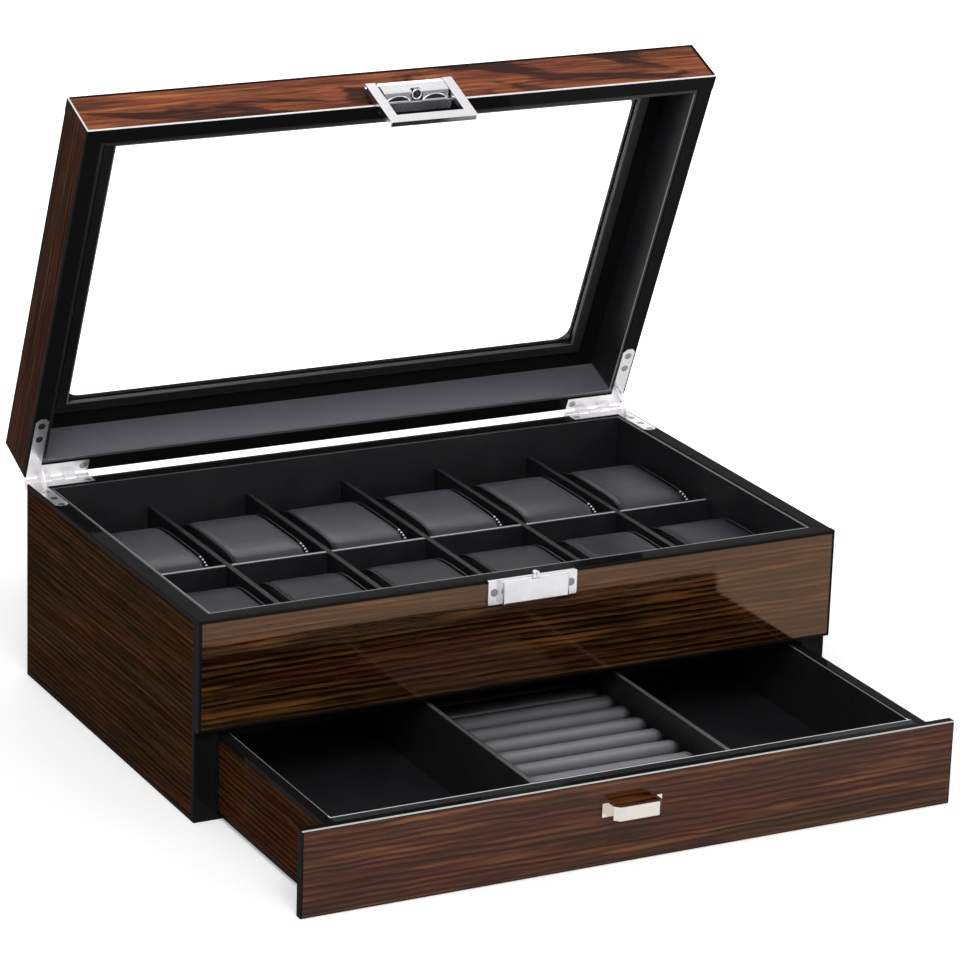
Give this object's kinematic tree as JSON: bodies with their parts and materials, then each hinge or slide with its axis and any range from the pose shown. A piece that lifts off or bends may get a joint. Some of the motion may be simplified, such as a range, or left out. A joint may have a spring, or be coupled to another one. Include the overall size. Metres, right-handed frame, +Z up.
{
  "type": "watch box with drawer",
  "caption": "Veneered watch box with a glazed hinged lid, a ring latch, a tray of watch pillows and a drawer with ring rolls.",
  "frame": {"origin": "middle of the underside of the case", "axes": "+X to the right, +Y to the back, +Z up; the drawer pulls out along -Y"},
  "size_m": [0.34, 0.3638, 0.3095],
  "materials": {
    "veneer": "gloss",
    "black_board": "gloss",
    "black_leatherette": "satin",
    "grey_leatherette": "satin",
    "grey_velvet": "matte",
    "clear_glass": "gloss",
    "chrome": "polished"
  },
  "bodies": {
    "case": {"side_wall_left": "veneer", "side_wall_right": "veneer", "back_wall": "veneer", "upper_front_panel": "veneer", "tray_front_wall": "black_board", "tray_board": "black_board", "bottom_board": "black_board", "bay_side_boards": "black_board", "tray_liner": "black_leatherette", "long_divider": "black_leatherette", "cross_divider_1": "black_leatherette", "cross_divider_2": "black_leatherette", "cross_divider_3": "black_leatherette", "cross_divider_4": "black_leatherette", "cross_divider_5": "black_leatherette", "watch_pillow_1": "grey_leatherette", "watch_pillow_2": "grey_leatherette", "watch_pillow_3": "grey_leatherette", "watch_pillow_4": "grey_leatherette", "watch_pillow_5": "grey_leatherette", "watch_pillow_6": "grey_leatherette", "watch_pillow_7": "grey_leatherette", "watch_pillow_8": "grey_leatherette", "watch_pillow_9": "grey_leatherette", "watch_pillow_10": "grey_leatherette", "watch_pillow_11": "grey_leatherette", "watch_pillow_12": "grey_leatherette", "hinge_leaf_base_left": "chrome", "hinge_leaf_base_right": "chrome", "hinge_pins": "chrome", "hinge_screws_base": "chrome", "latch_catch": "chrome", "latch_screws_base": "chrome"},
    "lid": {"lid_rail_front": "veneer", "lid_rail_left": "veneer", "lid_rail_right": "veneer", "lid_rail_back": "veneer", "lid_top_frame": "veneer", "window_glass": "clear_glass", "glass_bead": "black_leatherette", "lid_liner": "black_leatherette", "hinge_leaf_lid_left": "chrome", "hinge_leaf_lid_right": "chrome", "hinge_screws_lid": "chrome", "latch_keeper": "chrome", "latch_pin": "chrome", "latch_screws_lid": "chrome"},
    "drawer": {"drawer_front": "veneer", "drawer_side_left": "veneer", "drawer_side_right": "veneer", "drawer_inner_front": "black_board", "drawer_back": "black_board", "drawer_bottom": "black_board", "drawer_liner": "black_leatherette", "drawer_divider_left": "black_leatherette", "drawer_divider_right": "black_leatherette", "ring_rolls": "grey_velvet", "drawer_handle": "chrome"},
    "latch_ring": {"latch_ring": "chrome"},
    "release_tab": {"release_tab": "chrome"}
  },
  "joints": [
    {"name": "lid_hinge", "type": "hinge", "parent": "case", "child": "lid", "pos_m": [0, 0.1092, 0.0995], "axis": [-1, 0, 0], "range_deg": [-67.6, 4.4]},
    {"name": "drawer_slide", "type": "slide", "parent": "case", "child": "drawer", "axis": [0, -1, 0], "range_m": [-0.1131, 0.035]},
    {"name": "ring_swing", "type": "hinge", "parent": "lid", "child": "latch_ring", "pos_m": [0.0014, 0.03699, 0.30618], "axis": [-1, 0, 0], "range_deg": [0, 100]},
    {"name": "tab_press", "type": "slide", "parent": "case", "child": "release_tab", "axis": [0, 0, -1], "range_m": [0, 0.002], "stiffness_N_per_m": 300, "springref_m": -0.001}
  ]
}
